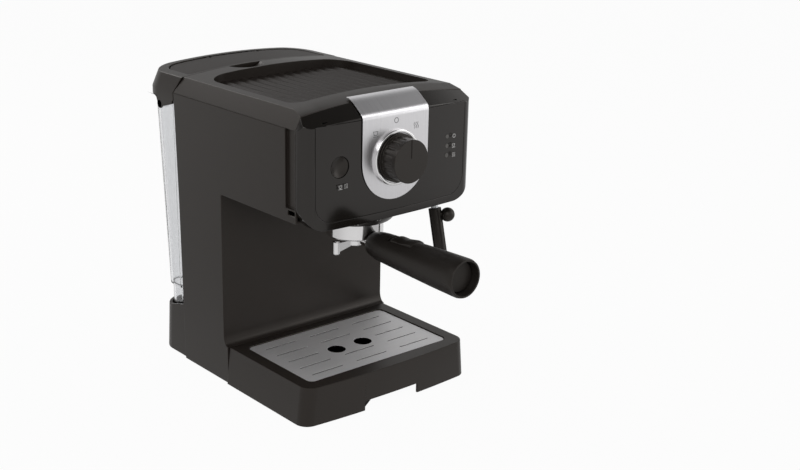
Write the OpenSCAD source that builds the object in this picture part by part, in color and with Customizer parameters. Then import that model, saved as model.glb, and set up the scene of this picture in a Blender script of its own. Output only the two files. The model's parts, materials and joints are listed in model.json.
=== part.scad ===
// Pump espresso machine with a lift-out water tank, a bayonet filter holder,
// a pull-out drip tray and a swinging steam pipe.
// X points right, Y points to the back, Z points up; the origin lies on the counter,
// in the middle of the machine's footprint box.

/* [Body] */
// Width over the side walls of column and head
body_w = 203.4; // [195:0.2:212]
// Height of the crowned top above the counter
overall_h = 303; // [300:0.5:306]
// Height where the sides lean in towards the top
shoulder_z = 281.5; // [279:0.5:284]
// Width of the top where its leaning sides end
top_w = 186.8; // [180:0.2:190]
// Rise of the crowned top over its side edges
crown_h = 5.5; // [4:0.1:7]
// Front face of the column
column_y = 44.4; // [42:0.2:47]
// Seam between the fixed top and the tank cover
seam_y = 117.4; // [116:0.2:119]
// Wall thickness of the mouldings
wall = 2.5; // [2:0.1:3]

/* [Head] */
// Foremost point of the bowed front face
front_y = -90.6; // [-92:0.2:-89]
// Radius of the bow of the front face
bow_r = 1133; // [800:1:2000]
// Underside of the head
head_z = 196; // [195.5:0.1:196.5]
// Lowest edge of the front frame
lip_z = 188.6; // [187:0.2:190]
// Half width of the glossy control panel
panel_hw = 89.2; // [86:0.2:91]
// Half width of the steel trim strip
strip_hw = 39.3; // [36:0.1:42]
// Height of the selector knob's axis
knob_z = 245.6; // [244:0.2:247]
// Radius of the selector knob
knob_r = 20.2; // [19:0.1:21]
// Length of the knob from panel to face
knob_len = 18.5; // [16:0.5:20]

/* [Top] */
// Half width of the cup recess
recess_hw = 84; // [80:0.5:86]
// Depth of the cup recess under the crown
recess_depth = 13; // [11:0.5:14]
// Number of ribs on the cup tray
rib_count = 14; // [8:1:18]

/* [Brewing group] */
// Distance of the brewing axis from the origin, along Y
group_y = -33.8; // [-36:0.2:-32]
// Outer radius of the filter holder's bowl
bowl_r = 27.7; // [27:0.1:28.2]
// Underside of the bowl
bowl_z = 156; // [155:0.5:157]
// Height of the handle's axis
handle_z = 155; // [154:0.5:156]
// Free end of the handle
handle_y = -187.4; // [-195:0.2:-180]
// Radius of the handle at its free end
handle_r = 18.4; // [17:0.1:19.5]
// Distance of each spout from the middle
spout_x = 17.5; // [15:0.5:19]

/* [Drip tray] */
// Top of the drip tray's rim
tray_z = 39.9; // [39:0.1:41]
// Half width of the tray at its top
tray_top_hw = 99.6; // [98:0.1:101]
// Half width of the tray at the counter
tray_foot_hw = 103.8; // [102:0.1:105]
// Foremost point of the tray
tray_front_y = -93.6; // [-96:0.2:-92]
// Half width of the steel grid
grid_hw = 85.9; // [84:0.1:87]
// Radius of the two drain holes in the grid
drain_r = 9.1; // [8:0.1:10]

/* [Water tank] */
// Rear wall of the tank under its rim
tank_back_y = 180.4; // [179:0.1:182]
// Half width of the tank under its rim
tank_hw = 98.3; // [97:0.1:98.4]
// Thickness of the tank's clear wall
tank_wall = 2.2; // [2:0.1:2.6]

/* [Hidden] */
$fn = 64;
eps = 0.01;
gap = 0.3;

hw = body_w / 2;
thw = top_w / 2;
edge_z = overall_h - crown_h;
crown_r = (thw * thw + crown_h * crown_h) / (2 * crown_h);
foot_h = 1.2;

// Front: seams, bevels and arcs of the middle section
frame_y = -74.5;          // seam between front frame and housing
bevel_z = 288;            // where the front face turns into the bevel
bevel_y = -75.5;          // where the bevel meets the top
bevel_top = 299.3;
bevel_a = atan2(bevel_top - bevel_z, bevel_y - front_y);
slope_y = -62;            // where the sloping front rim reaches the crown
slope_a = atan2(overall_h - bevel_top, slope_y - bevel_y);
bend_r = 8;
brow_r = 22;
brow_end_a = 100;
strip_t = 0.8;
panel_t = 2.2;
panel_z0 = 196;
panel_z1 = 285;
corner_r = 12.6;           // its centre then lies on the seam

// Rear edge of the housing, bottom to top
rear_pts = [[117.5, foot_h], [121.2, 173], [125.6, shoulder_z]];
cover_back_y = -handle_y;          // skirt of the tank cover
cover_top_back_y = 179.4;
skirt_z = 273;
boss_y = 152;
boss_z = 266;

tank_front_y = 127.6;
tank_rim_z = 279.4;
tank_step_z = 74;
tank_foot_z = 41;         // floor of the tank, on the floor of its socket
valve_y = 145;
tank_low_back_y = 163;
socket_back_y = 170.7;

floor_z = 11.4;           // top of the tongue that carries the tray
tongue_t = 3.6;
tray_floor_z = 11.5;
tray_back_y = 37.6;
grid_z = 38.8;
grid_front_y = -76.1;
grid_back_y = 26.7;
slot_rows = [13.1, -5.7, -24.6, -43.4, -62.2];
slot_w = 1.5;
notch_hw = 33;
notch_h = 11.1;

ledge_z = 170;            // top of the bayonet ledges
gasket_z = 178.1;
wand = [73.6, -63.6, 190];
wand_lean = -13.7;
button_x = -63;
button_r = 9.7;
led_x = 66;
led_z = [254.4, 245.3, 236.1];
clip_y = -84;
clip_z = 171;

// ---- helpers -------------------------------------------------------------

// A profile drawn in Y and Z, w wide along X and centred
module along_x(w) rotate([90, 0, 90]) linear_extrude(w, center = true) children();

// A profile drawn in X and Z, from y0 to y1
module along_y(y0, y1) translate([0, y1, 0]) rotate([90, 0, 0]) linear_extrude(y1 - y0) children();

// A rod along Y
module rod_y(x, z, y0, y1, r) translate([x, y1, z]) rotate([90, 0, 0]) cylinder(h = y1 - y0, r = r);

// A rod along X
module rod_x(y, z, x0, x1, r) translate([x0, y, z]) rotate([0, 90, 0]) cylinder(h = x1 - x0, r = r);

// A rod between any two points
module rod(a, b, r) {
    d = b - a;
    translate(a) rotate([0, acos(d[2] / norm(d)), atan2(d[1], d[0])]) cylinder(h = norm(d), r = r);
}

// A hose through a few points, its corners rounded by arcs of n steps; its bends avoid the direction ref
function hose_path(p, n = 6) = concat([p[0]],
    [for (i = [1 : len(p) - 2], k = [0 : n]) let (t = k / n, a = (p[i - 1] + p[i]) / 2, b = (p[i] + p[i + 1]) / 2)
        if (i == 1 || k > 0) (1 - t) * (1 - t) * a + 2 * t * (1 - t) * p[i] + t * t * b],
    [p[len(p) - 1]]);
function unit(v) = v / norm(v);
module hose(pts, r, ref, sides = 10) {
    path = hose_path(pts);
    last = len(path) - 1;
    rings = [for (i = [0 : last]) let (
        t = unit(path[min(i + 1, last)] - path[max(i - 1, 0)]),
        u = unit(cross(t, ref)), v = cross(u, t))
        for (k = [0 : sides - 1]) path[i] + r * (cos(360 * k / sides) * u + sin(360 * k / sides) * v)];
    polyhedron(rings, concat(
        [[for (k = [sides - 1 : -1 : 0]) k]],
        [for (i = [0 : last - 1], k = [0 : sides - 1]) let (n = (k + 1) % sides)
            [i * sides + n, (i + 1) * sides + n, (i + 1) * sides + k, i * sides + k]],
        [[for (k = [0 : sides - 1]) last * sides + k]]));
}

// A rectangle with round corners: rf at low Y, rb at high Y
module plate2d(x0, x1, y0, y1, rf, rb) {
    translate([x0 + rf, y0]) square([x1 - x0 - 2 * rf, y1 - y0 - rb]);
    translate([x0 + rb, y1 - rb - eps]) square([x1 - x0 - 2 * rb, rb + eps]);
    translate([x0, y0 + rf]) square([x1 - x0, y1 - y0 - rf - rb]);
    for (x = [x0 + rf, x1 - rf]) translate([x, y0 + rf]) circle(rf);
    for (x = [x0 + rb, x1 - rb]) translate([x, y1 - rb]) circle(rb);
}

// A ring between two radii
module tube(r1, r0, h) difference() {
    cylinder(h = h, r = r1);
    translate([0, 0, -1]) cylinder(h = h + 2, r = r0);
}

// A sector of a ring, a wide, centred on angle c
module sector(r1, r0, h, c, a) intersection() {
    tube(r1, r0, h);
    linear_extrude(h) polygon([[0, 0], for (i = [-2 : 2]) 2 * r1 * [cos(c + i * a / 4), sin(c + i * a / 4)]]);
}

// Everything under the crowned top, from y0 to y1
module under_crown(y0, y1) translate([0, y1, overall_h - crown_r]) rotate([90, 0, 0])
    cylinder(h = y1 - y0, r = crown_r, $fn = 360);

// Everything under a crowned plane through (y, z), rising at angle a towards the back
module under_slope(y, z, a) translate([0, y, z]) rotate([a, 0, 0]) translate([0, 200, -crown_r])
    rotate([90, 0, 0]) cylinder(h = 400, r = crown_r, $fn = 360);

// Outline of the head seen from the front, its top left open for the crown
module head_outline(inset, z0) polygon([[-hw + inset, z0], [hw - inset, z0], [hw - inset, shoulder_z],
    [thw - inset, edge_z], [thw - inset, overall_h + 1], [-thw + inset, overall_h + 1],
    [-thw + inset, edge_z], [-hw + inset, shoulder_z]]);

// Points along the bowed front, d behind its face
bow_hw = hw - corner_r;
function bow_y(x, d) = front_y + d + x * x / (2 * bow_r);
function bow_pts(d) = [for (i = [-8 : 8]) [bow_hw * i / 8, bow_y(bow_hw * i / 8, d)]];

// Plan of the bowed front with its round corners
module front_plan() {
    polygon(concat([[-bow_hw, frame_y]], bow_pts(0), [[bow_hw, frame_y]]));
    for (s = [-1, 1]) translate([s * bow_hw, frame_y]) circle(corner_r);
}

// Everything up to 20 behind a surface that follows the bowed front, d behind its face
module behind_front(d) translate([0, 0, 150]) linear_extrude(200)
    polygon(concat([[-120, front_y + d + 25], [-120, bow_y(120, d)]], bow_pts(d),
        [[120, bow_y(120, d)], [120, front_y + d + 25]]));

// Middle section of the head's front, t outside the seat of the trim strip
function arc(c, r, a0, a1, n) = [for (i = [0 : n]) c + r * [cos(a0 + (a1 - a0) * i / n), sin(a0 + (a1 - a0) * i / n)]];
bend_c = [front_y + bend_r, bevel_z - bend_r * tan((90 - bevel_a) / 2)];
brow_c = [-78, 297.4] - brow_r * [cos(90 + bevel_a), sin(90 + bevel_a)];
module middle_section(t) polygon(concat([[front_y - t, 150]], arc(bend_c, bend_r + t, 180, 90 + bevel_a, 6),
    arc(brow_c, brow_r + t, 90 + bevel_a, brow_end_a, 6), [[-60, 303.2 + t], [-40, 303.2 + t], [-40, 150]]));

// Outline of the trim strip: straight sides and a round lower end
module strip_outline(grow) {
    translate([-strip_hw - grow, knob_z]) square([2 * (strip_hw + grow), overall_h]);
    translate([0, knob_z]) circle(strip_hw + grow, $fn = 128);
}

// Space that the trim strip needs in the parts under it
module strip_seat() intersection() {
    difference() {
        translate([-strip_hw - 0.15, -120, 200]) cube([2 * strip_hw + 0.3, 52.3, 110]);
        along_x(body_w) middle_section(0);
    }
    along_y(-120, -60) strip_outline(0.15);
}

// Rear edge of the fixed body, d behind it
module behind_seam(d) along_x(body_w + 60) polygon([for (p = rear_pts) p + [d, 0],
    [seam_y + d, edge_z], [seam_y + d, overall_h + 20], [260, overall_h + 20], [260, foot_h]]);

// ---- fixed body ----------------------------------------------------------

module main_housing() color("#3a3633") {
    difference() {
        union() {
            housing_shell();
            // thicker wall behind the grooves
            for (s = [-1, 1]) translate([s * (hw - 4.2) - 1.8, frame_y, 207.4]) cube([3.6, 16.6, shoulder_z - 207.4]);
        }
        // grooves in both sides of the head, with a vent slot under each
        for (s = [-1, 1]) {
            translate([s * hw - 3, -73.3, 209]) cube([6, 13.7, shoulder_z]);
            translate([s * (hw - 2.5) - 3, -73, 203]) cube([6, 10, 4.2]);
        }
        // way for the tongue under the tray
        translate([-88.3, tray_back_y, floor_z - tongue_t - gap]) cube([176.6, 12, tongue_t + 2 * gap]);
    }
    // bosses for the screws of the rear panel
    for (x = [-90, 90], z = screw_z) difference() {
        union() {
            rod_y(x, z, panel_front(z) - 16, panel_front(z) + 1, 4.2);
            translate([x < 0 ? -hw + wall - eps : x, panel_front(z) - 16, z - 1.2]) cube([hw - wall - 90 + eps, 17, 2.4]);
        }
        rod_y(x, z, panel_front(z) - 12, panel_front(z) + 2, 1.8);
        along_x(body_w) polygon([for (p = rear_pts) p - [wall + 2, 0], [150, shoulder_z], [150, foot_h]]);
    }
}
module housing_shell() difference() {
    along_x(body_w) polygon(concat([[tray_back_y + 0.4, foot_h]],
        [for (i = [0 : 6]) [column_y - 6.4 * (1 - sin(i * 15)), tray_z + 11 * (1 - cos(i * 15))]],
        [[column_y, head_z], [frame_y, head_z], [frame_y, shoulder_z]],
        [for (i = [len(rear_pts) - 1 : -1 : 0]) rear_pts[i]]));
    // inside of the column
    along_x(body_w - 2 * wall) polygon([[column_y + wall, foot_h - 1], [column_y + wall, shoulder_z + 1],
        [rear_pts[2][0] + 1, shoulder_z + 1], [rear_pts[1][0] + 1, rear_pts[1][1]], [rear_pts[0][0] + 1, foot_h - 1]]);
    // inside of the head, open below for its floor and in front for its frame
    along_x(body_w - 2 * wall) polygon([[frame_y - 1, head_z - 1], [column_y + eps, head_z - 1],
        [column_y + eps, head_z], [column_y + wall + 1, head_z], [column_y + wall + 1, shoulder_z + 1],
        [frame_y - 1, shoulder_z + 1]]);
}
// Front of the rear panel at a height
function panel_front(z) = lookup(z, [for (p = rear_pts) [p[1], p[0]]]) - wall - 2;
screw_z = [24, 262];

module rear_panel() color("#2d2b29") difference() {
    along_x(body_w - 2 * wall - 0.4) polygon([for (p = rear_pts) p - [wall + 2, 0],
        [rear_pts[2][0] - 2, shoulder_z], [rear_pts[1][0] - 2, rear_pts[1][1]], [rear_pts[0][0] - 2, foot_h]]);
    // rows of vent slots high up, behind the boiler
    for (i = [-5 : 5]) translate([i * 12 - 2, 100, 236]) cube([4, 40, 24]);
    rod_y(0, hose_z, 100, 130, 3.4);
    rod_y(72, 20, 100, 130, 5.2);
    for (x = [-90, 90], z = screw_z) rod_y(x, z, 100, 130, 1.9);
}

module top_cover() color("#3c3835") difference() {
    intersection() {
        along_y(frame_y, rear_pts[2][0] + 1) head_outline(0, shoulder_z);
        under_crown(frame_y - 1, 140);
        under_slope(bevel_y, bevel_top, slope_a);
    }
    behind_seam(0);
    // hollow inside, deep under the rims and shallow over the recess floor
    difference() {
        intersection() {
            along_y(frame_y + wall, seam_y - wall) head_outline(wall, shoulder_z - 1);
            translate([0, 0, -wall]) under_crown(frame_y - 1, 140);
            translate([0, 0, -wall]) under_slope(bevel_y, bevel_top, slope_a);
        }
        translate([0, 0, shoulder_z - 2]) linear_extrude(30)
            plate2d(-recess_hw - wall, recess_hw + wall, -49.5 - wall, 95.5 + wall, 16, 26);
        translate([-41.5, 90, shoulder_z - 2]) cube([39, 60, 30]);
    }
    translate([0, 0, shoulder_z - 1]) linear_extrude(overall_h - recess_depth - 3 - shoulder_z + 1)
        plate2d(-recess_hw + 1, recess_hw - 1, -48.5, 94.5, 14, 24);
    translate([0, 0, overall_h - recess_depth]) linear_extrude(30)
        plate2d(-recess_hw, recess_hw, -49.5, 95.5, 14, 24);
    // finger scoop in front of the tank flap
    translate([-39, 90, overall_h - 8]) cube([34, seam_y - 1.4 - 90, 20]);
    strip_seat();
}

module cup_tray() color("#35322f") intersection() {
    translate([0, 0, overall_h - recess_depth - 1]) linear_extrude(20)
        plate2d(-recess_hw + 0.2, recess_hw - 0.2, -49.3, 95.3, 13.8, 23.8);
    along_y(-60, 110) cup_tray_section();
}
// Wavy section of the cup tray
module cup_tray_section() polygon(concat([[-recess_hw, overall_h - recess_depth], [recess_hw, overall_h - recess_depth]],
    [for (i = [rib_count * 8 : -1 : 0]) [-77 + 154 * i / (rib_count * 8),
        overall_h - recess_depth + 2.2 - 0.8 * cos(360 * i / 8)]]));

module head_floor() color("#33302d") difference() {
    union() {
        translate([-hw + wall, frame_y + 0.2, head_z]) cube([body_w - 2 * wall, column_y + wall - frame_y - 0.2, 2.5]);
        translate([0, group_y, head_z]) cylinder(h = 6, r = 44);
    }
    translate([0, group_y, head_z - 1]) cylinder(h = 12, r = 38.2);
    translate([wand[0], wand[1], head_z - 1]) cylinder(h = 6, r = 6);
}

module front_frame() color("#262422") {
    difference() {
        frame_shell();
        // room for the group's collar and the steam pipe's socket in the lower rail
        translate([0, group_y, lip_z - 1]) cylinder(h = 10, r = collar_r + gap);
        translate([wand[0], wand[1], lip_z - 1]) cylinder(h = 10, r = 12.3);
    }
    // posts that carry the button's switch and the lamp board
    for (x = [-16, 16]) rod_y(button_x + x, knob_z, frame_back - 0.2, -68, 2);
    for (x = [-11, 11], z = [229, 263]) rod_y(led_x + x, z, frame_back - 0.2, -76, 2);
}
collar_r = 41.4;
frame_back = front_y + 5.2;
module frame_shell() difference() {
    intersection() {
        translate([0, 0, lip_z]) linear_extrude(overall_h - lip_z + 2) front_plan();
        along_y(front_y - 1, frame_y) frame_outline();
        under_crown(front_y - 1, frame_y + 1);
        under_slope(front_y, bevel_z, bevel_a);
    }
    // hollow behind the panel, kept inside the round corners
    translate([-80, frame_back, lip_z + 3.2]) cube([160, 20, 98.2 - wall]);
    translate([-89, frame_back, 200]) cube([178, 20, 83.5]);
    translate([-hw + 2.8, -78, 206]) cube([body_w - 5.6, 10, 73]);
    // recess for the control panel
    difference() {
        along_y(front_y - 2, frame_y) panel_outline(0.15);
        behind_front(panel_t);
    }
    strip_seat();
    rod_y(0, knob_z, -100, -60, 7);
    rod_y(button_x, knob_z, -100, -60, button_r + 1.5);
    for (z = led_z) rod_y(led_x, z, -100, -60, 2.6);
}
// Front view of the frame: round lower corners and leaning upper ones
module frame_outline() difference() {
    head_outline(0, lip_z);
    for (s = [0, 1]) mirror([s, 0]) difference() {
        translate([hw - 25, lip_z - 1]) square([30, 26]);
        translate([hw - 25, lip_z + 25]) circle(25);
    }
}
// Front view of the control panel
module panel_outline(grow) difference() {
    translate([-panel_hw - grow, panel_z0 - grow]) square([2 * (panel_hw + grow), panel_z1 - panel_z0 + 2 * grow]);
    for (s = [0, 1]) mirror([s, 0]) difference() {
        translate([panel_hw - 19, panel_z0 - 3]) square([30, 22]);
        translate([panel_hw - 19, panel_z0 + 19]) circle(19 + grow);
    }
}

module control_panel() color("#2b2927") difference() {
    intersection() {
        along_y(front_y - 2, frame_y) panel_outline(0);
        difference() {
            behind_front(0);
            behind_front(panel_t);
        }
    }
    strip_seat();
    rod_y(0, knob_z, -100, -60, 7);
    rod_y(button_x, knob_z, -100, -60, button_r + gap);
    for (z = led_z) rod_y(led_x, z, -100, -60, 2.05);
}

module trim_strip() color("#c8c8cc") difference() {
    intersection() {
        along_x(2 * strip_hw) difference() {
            middle_section(strip_t);
            middle_section(0);
        }
        along_y(-120, -67.9) strip_outline(0);
    }
    rod_y(0, knob_z, -100, -60, 7);
}

module base_plate() color("#262422") difference() {
    union() {
        translate([-96, column_y + wall + 0.2, foot_h]) cube([192, 65.6, 2.5]);
        // tongue under the drip tray
        translate([-88, -60, floor_z - tongue_t]) cube([176, column_y + 12 + 60, tongue_t]);
        translate([-88, column_y + wall + 0.2, foot_h + 1]) cube([176, 9, floor_z - foot_h - 1]);
        for (x = [-78, 78]) translate([x, -48, 2]) cylinder(h = floor_z - tongue_t - 1.5, r = 9);
    }
    for (i = [-4 : 4]) translate([i * 16 - 3, 66, 0]) cube([6, 30, 8]);
}

module feet() color("#1d1c1b") {
    for (x = [-78, 78]) translate([x, -48, 0]) cylinder(h = 2, r = 8);
    for (x = [-80, 80], y = [56, 104]) translate([x, y, 0]) cylinder(h = foot_h, r = 8);
    for (x = [-76, 76]) translate([x, 150, 0]) cylinder(h = foot_h, r = 8);
}

module tank_socket() color("#33302e") difference() {
    intersection() {
        hull() {
            translate([0, 0, foot_h]) linear_extrude(0.5)
                plate2d(-hw + 2.3, hw - 2.3, 117.7, socket_back_y, 1, 23, $fn = 32);
            translate([0, 0, 60]) linear_extrude(0.5)
                plate2d(-hw + 2.8, hw - 2.8, 119.2, socket_back_y - 3.9, 1, 23, $fn = 32);
        }
        // top edge slopes down from the column to the back
        along_x(body_w + 10) polygon([[100, 0], [190, 0], [190, 51.5], [150, 51.5], [118, 60.2], [100, 60.2]]);
    }
    behind_housing();
    // seat of the tank's foot, and the hollow under it
    translate([0, 0, tank_foot_z]) linear_extrude(40) plate2d(-tank_hw + 3, tank_hw - 3, 126.8, 162.4, 3, 17);
    translate([0, 0, foot_h + wall]) linear_extrude(tank_foot_z - 3 - foot_h - wall)
        plate2d(-tank_hw + 2.6, tank_hw - 2.6, 123, socket_back_y - 5.2, 3, 20);
    translate([0, valve_y, 30]) cylinder(h = 20, r = 11);
    rod_y(72, 20, 150, 190, 6.2);
    rod_y(0, hose_z, 110, 130, 3.4);
}
hose_z = 12;
// The fixed body's volume, kept free by the tank socket
module behind_housing() along_x(body_w + 10) polygon([for (p = rear_pts) p + [0.2, 0],
    [90, shoulder_z], [90, 0], [rear_pts[0][0] + 0.2, 0]]);

module cord_inlet() color("#1f1e1d") difference() {
    union() {
        rod_y(72, 20, 160, socket_back_y + 1.6, 6);
        rod_y(72, 20, socket_back_y - 0.2, socket_back_y + 2.6, 8.5);
    }
    rod_y(72, 20, 150, 190, 3.6);
}

module water_inlet() color("#d8d6d0") translate([0, valve_y, 0]) difference() {
    union() {
        translate([0, 0, 22]) cylinder(h = 14, r = 5);
        translate([0, 0, tank_foot_z - 6]) cylinder(h = 3, r = 14);
        translate([0, 0, tank_foot_z - 6]) cylinder(h = 4, r = 10.8);
    }
    translate([0, 0, 20]) cylinder(h = 30, r = 2.9);
}

module inlet_seal() color("#3a3a3c") translate([0, valve_y, tank_foot_z - 2]) tube(9, 5, 1.9);

module water_tank() color([0.85, 0.88, 0.9, 0.45]) {
    difference() {
        union() {
            hull() {
                translate([0, 0, tank_step_z]) linear_extrude(0.5)
                    plate2d(-tank_hw + 2, tank_hw - 2, tank_front_y, tank_low_back_y, 6, 17, $fn = 32);
                translate([0, 0, tank_rim_z - 0.5]) linear_extrude(0.5)
                    plate2d(-tank_hw, tank_hw, tank_front_y, tank_back_y + 2, 6, 27, $fn = 32);
            }
            // foot that enters the socket
            translate([0, 0, tank_foot_z]) linear_extrude(tank_step_z - tank_foot_z + 1)
                plate2d(-tank_hw + 4.4, tank_hw - 4.4, tank_front_y + 1, tank_low_back_y - 2.6, 6, 15);
            for (s = [-1, 1]) tank_boss(s);
        }
        hull() {
            translate([0, 0, tank_step_z + 1]) linear_extrude(0.5) plate2d(-tank_hw + 2 + tank_wall,
                tank_hw - 2 - tank_wall, tank_front_y + tank_wall, tank_low_back_y - tank_wall, 4, 15, $fn = 32);
            translate([0, 0, tank_rim_z]) linear_extrude(0.5) plate2d(-tank_hw + tank_wall,
                tank_hw - tank_wall, tank_front_y + tank_wall, tank_back_y + 2 - tank_wall, 4, 25, $fn = 32);
        }
        translate([0, 0, tank_foot_z + tank_wall]) linear_extrude(60) plate2d(-tank_hw + 4.4 + tank_wall,
            tank_hw - 4.4 - tank_wall, tank_front_y + 1 + tank_wall, tank_low_back_y - 2.6 - tank_wall, 4, 13);
        translate([0, valve_y, tank_foot_z - 1]) cylinder(h = 10, r = 4);
    }
}
// Round boss on each side of the tank, which the cover's arms snap over
module tank_boss(s) translate([s * (tank_hw - 1), boss_y, boss_z]) rotate([0, s * 90, 0]) cylinder(h = 4, r = 3);

module tank_valve() color("#efeeea") translate([0, valve_y, tank_foot_z]) {
    translate([0, 0, -0.2]) cylinder(h = 9, r = 3.6);
    translate([0, 0, tank_wall]) tube(7, 3.5, 3);
    translate([0, 0, tank_wall + 3]) cylinder(h = 6, r = 7);
}

module tank_cover() color("#3c3835") {
    difference() {
        intersection() {
            cover_form(0, skirt_z);
            under_crown(100, 200);
            behind_seam(0.4);
        }
        difference() {
            intersection() {
                translate([0, 0, -wall]) cover_form(wall, skirt_z - 5);
                translate([0, 0, -wall]) under_crown(90, 210);
                behind_seam(1.8);
            }
            // ribs that stand on the tank's rim
            for (x = [-60, 0, 60]) translate([x - 1, flap_back_y + 2, tank_rim_z]) cube([2, 20, 30]);
        }
        // opening for the flap
        translate([0, 0, 290]) linear_extrude(40)
            plate2d(-flap_hw - gap, flap_hw + gap, flap_y0 - gap, flap_back_y, 4, 20);
    }
    for (s = [-1, 1]) {
        cover_arm(s);
        // bracket and pin of the flap's hinge
        translate([s * 30 - 1.6, flap_axis[0] - 1.6, flap_axis[1] - 1.6]) cube([3.2, 5.6, 3]);
        rod_x(flap_axis[0], flap_axis[1], s * 25 - 5, s * 25 + 5, 0.8);
    }
}
flap_axis = [170.4, 300.4];
flap_back_y = 172.9;
flap_hw = 85;
flap_y0 = seam_y + 3.4;
flap_y1 = flap_axis[0] + 0.3;
module cover_form(inset, z0) hull() {
    translate([0, 0, z0]) linear_extrude(shoulder_z - z0)
        plate2d(-hw + inset, hw - inset, 105, cover_back_y - inset, 1, 32 - inset, $fn = 48);
    translate([0, 0, edge_z]) linear_extrude(overall_h + 1 - edge_z)
        plate2d(-thw + inset, thw - inset, 105, cover_top_back_y - inset, 1, 26 - inset, $fn = 48);
}
// Arm that reaches down from the cover and snaps over the tank's boss
module cover_arm(s) difference() {
    translate([s * (hw - 1.2), boss_y, boss_z]) union() {
        along_x(2.4) polygon([[-24, skirt_z - boss_z + 1], [-24, skirt_z - boss_z - 3.2], [-3, -2.5], [4, 1],
            [7, skirt_z - boss_z + 1]]);
        rotate([0, 90, 0]) cylinder(h = 2.4, r = 4.5, center = true);
    }
    translate([s * hw, boss_y, boss_z]) rotate([0, 90, 0]) cylinder(h = 10, r = 3.2, center = true);
}

module tank_flap() color("#3a3634") difference() {
    intersection() {
        union() {
            difference() {
                translate([0, 0, 290]) linear_extrude(20) plate2d(-flap_hw, flap_hw, flap_y0, flap_y1, 4, 20);
                translate([0, 0, -3.4]) under_crown(90, 210);
            }
            for (x = [-24, 24]) rod_x(flap_axis[0], flap_axis[1], x - 4, x + 4, 1.9);
        }
        translate([0, 0, -0.6]) under_crown(100, 200);
    }
    // seats of the hinge's pins and room for their brackets
    for (x = [-25, 25]) rod_x(flap_axis[0], flap_axis[1], x - 5.6, x + 5.6, 1.1);
    for (x = [-30, 30]) translate([x - 2.2, flap_axis[0] - 2.4, 290]) cube([4.4, 10, 20]);
}

// ---- drip tray -----------------------------------------------------------

module drip_tray() color("#35322f") difference() {
    tray_block(0);
    // skirt open below, closed by the basin's floor
    intersection() {
        tray_block(wall, 0, tray_floor_z);
        translate([-150, -150, 0]) cube([300, 150 + tray_back_y - wall, 30]);
    }
    // basin and the seat of the grid
    translate([0, 0, 13.5]) linear_extrude(40)
        plate2d(-grid_hw + 2, grid_hw - 2, grid_front_y + 2, grid_back_y - 2, 5, 5);
    translate([0, 0, grid_z - 3]) linear_extrude(20)
        plate2d(-grid_hw - 0.5, grid_hw + 0.5, grid_front_y - 0.5, grid_back_y + 0.5, 6.5, 6.5);
    // finger notch in front, room for the tongue behind
    translate([-notch_hw, tray_front_y - 5, -1]) cube([2 * notch_hw, 30, notch_h + 1]);
    translate([-90, tray_back_y - 10, -1]) cube([180, 20, floor_z + 1.4]);
}
// The tray's outer form between heights z0 and z1: sides lean out towards the counter
module tray_block(inset, z0 = foot_h, z1 = tray_z) hull() for (z = [z0, z1 - 0.5])
    translate([0, 0, z]) linear_extrude(0.5)
        polygon(tray_plan(tray_foot_hw - (tray_foot_hw - tray_top_hw) * z / tray_z - inset, inset));
// Plan of the tray: a bowed front with round corners
tray_r = 13;
tray_bow_r = 1050;
function tray_front(x, inset) = tray_front_y + inset + x * x / (2 * tray_bow_r);
function tray_plan(h, inset) = let (r = tray_r - inset, c = [h - r, tray_front(h - r, inset) + r]) concat(
    [[-h, tray_back_y]],
    [for (a = [180 : 11.25 : 270]) [-c[0] + r * cos(a), c[1] + r * sin(a)]],
    [for (i = [-7 : 7]) [i * c[0] / 8, tray_front(i * c[0] / 8, inset)]],
    [for (a = [270 : 11.25 : 360]) [c[0] + r * cos(a), c[1] + r * sin(a)]],
    [[h, tray_back_y]]);

module drip_grid() color("#97959a") difference() {
    union() {
        translate([0, 0, grid_z - 1.4]) linear_extrude(1.4)
            plate2d(-grid_hw, grid_hw, grid_front_y, grid_back_y, 6, 6);
        difference() {
            translate([0, 0, grid_z - 2.7]) linear_extrude(2)
                plate2d(-grid_hw + 0.2, grid_hw - 0.2, grid_front_y + 0.2, grid_back_y - 0.2, 5.8, 5.8);
            translate([0, 0, grid_z - 4]) linear_extrude(6)
                plate2d(-grid_hw + 1.6, grid_hw - 1.6, grid_front_y + 1.6, grid_back_y - 1.6, 4.4, 4.4);
        }
    }
    for (i = [0 : 4], x = [-54.9, 0, 54.9]) if (i != 2 || x != 0)
        translate([x, slot_rows[i], grid_z - 5]) linear_extrude(10) plate2d(-18.7, 18.7, -slot_w / 2, slot_w / 2, 0.6, 0.6);
    for (x = [-16.7, 16.7]) translate([x, slot_rows[2] - 3.5, grid_z - 5]) cylinder(h = 10, r = drain_r);
}

// ---- controls ------------------------------------------------------------

module knob_ring() color("#d0d0d4") difference() {
    rod_y(0, knob_z, front_y - strip_t - 3.2, front_y - strip_t, 26.2);
    rod_y(0, knob_z, -110, -60, 23.4);
}

module selector_knob() color("#2a2826") difference() {
    union() {
        rod_y(0, knob_z, front_y - strip_t - knob_len - 3, front_y - strip_t - 2, knob_r);
        rod_y(0, knob_z, front_y - strip_t - 4.4, front_y - strip_t - 0.4, 22.6);
    }
    // grip flutes and the pointer line on the face
    for (i = [0 : 17]) translate([0, 0, knob_z]) rotate([0, i * 20 + 10, 0])
        rod_y(0, knob_r + 1.9, -108.5, -96.6, 2.6);
    translate([-0.5, front_y - strip_t - knob_len - 4, knob_z + 3]) cube([1, 1.8, knob_r - 2]);
    rod_y(0, knob_z, -107, -80, 3);
}

module knob_shaft() color("#8f9094") {
    rod_y(0, knob_z, -107, -73, 3);
    rod_y(0, knob_z, -80, -76, 6);
}

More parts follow.
